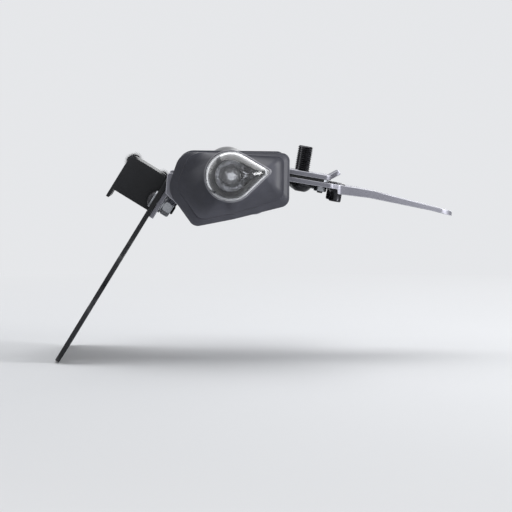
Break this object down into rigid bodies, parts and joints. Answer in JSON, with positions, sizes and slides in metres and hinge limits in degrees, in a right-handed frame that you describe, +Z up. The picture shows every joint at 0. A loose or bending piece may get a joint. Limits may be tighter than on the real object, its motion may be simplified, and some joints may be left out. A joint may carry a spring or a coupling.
{
  "type": "tail tidy",
  "caption": "Motorbike tail tidy: folded mounting bracket with number-plate hanger, hooded plate lamp and teardrop indicators on moulded stems.",
  "frame": {"origin": "midway between the two mounting bolts, on the support plate's top face, where the undertray seats", "axes": "+X towards the front wheel, +Y to the bike's left, +Z up as fitted to the bike"},
  "size_m": [0.2532, 0.325, 0.136],
  "materials": {
    "satin_steel": "satin grey folded sheet",
    "black_powder_coat": "satin black powder coat",
    "black_rubber": "matt",
    "black_screw": "black oxide",
    "zinc_steel": "zinc plated",
    "lamp_plastic": "fine moulded grain",
    "circuit_board": "solder mask",
    "diode_cap": "gloss",
    "clear_plastic": "clear, polished",
    "stem_rubber": "satin, slate grey",
    "pod_plastic": "satin moulded",
    "silvered_glass": "silvered bulb",
    "bright_reflector": "vacuum metallised",
    "grey_trim": "satin grey"
  },
  "bodies": {
    "root": {"main_bracket": "satin_steel", "support_plate": "satin_steel", "rubber_pad": "black_rubber", "mounting_bolts": "black_screw", "mounting_washers": "black_screw", "clamp_screws": "black_screw", "clamp_nuts": "zinc_steel", "spacer_washers": "zinc_steel", "rivet_nuts": "black_screw", "deck_grommet": "black_rubber", "plate_hanger": "black_powder_coat", "hanger_bolts": "black_screw", "hanger_washers": "zinc_steel", "hanger_nuts": "zinc_steel", "hanger_grommet": "black_rubber", "lamp_hood": "black_powder_coat", "lamp_body": "lamp_plastic", "lamp_bolts": "black_screw", "lamp_board": "circuit_board", "lamp_diodes": "diode_cap", "lamp_gasket": "black_rubber", "lamp_lens": "clear_plastic", "lamp_lens_screws": "zinc_steel", "right_stem": "stem_rubber", "right_stud": "zinc_steel", "right_backing_plate": "zinc_steel", "right_stem_nut": "zinc_steel", "right_pod": "pod_plastic", "right_bulb_holder": "lamp_plastic", "right_bulb": "silvered_glass", "right_reflector": "bright_reflector", "right_trim_ring": "grey_trim", "right_lens": "clear_plastic", "left_stem": "stem_rubber", "left_stud": "zinc_steel", "left_backing_plate": "zinc_steel", "left_stem_nut": "zinc_steel", "left_pod": "pod_plastic", "left_bulb_holder": "lamp_plastic", "left_bulb": "silvered_glass", "left_reflector": "bright_reflector", "left_trim_ring": "grey_trim", "left_lens": "clear_plastic"}
  },
  "joints": []
}
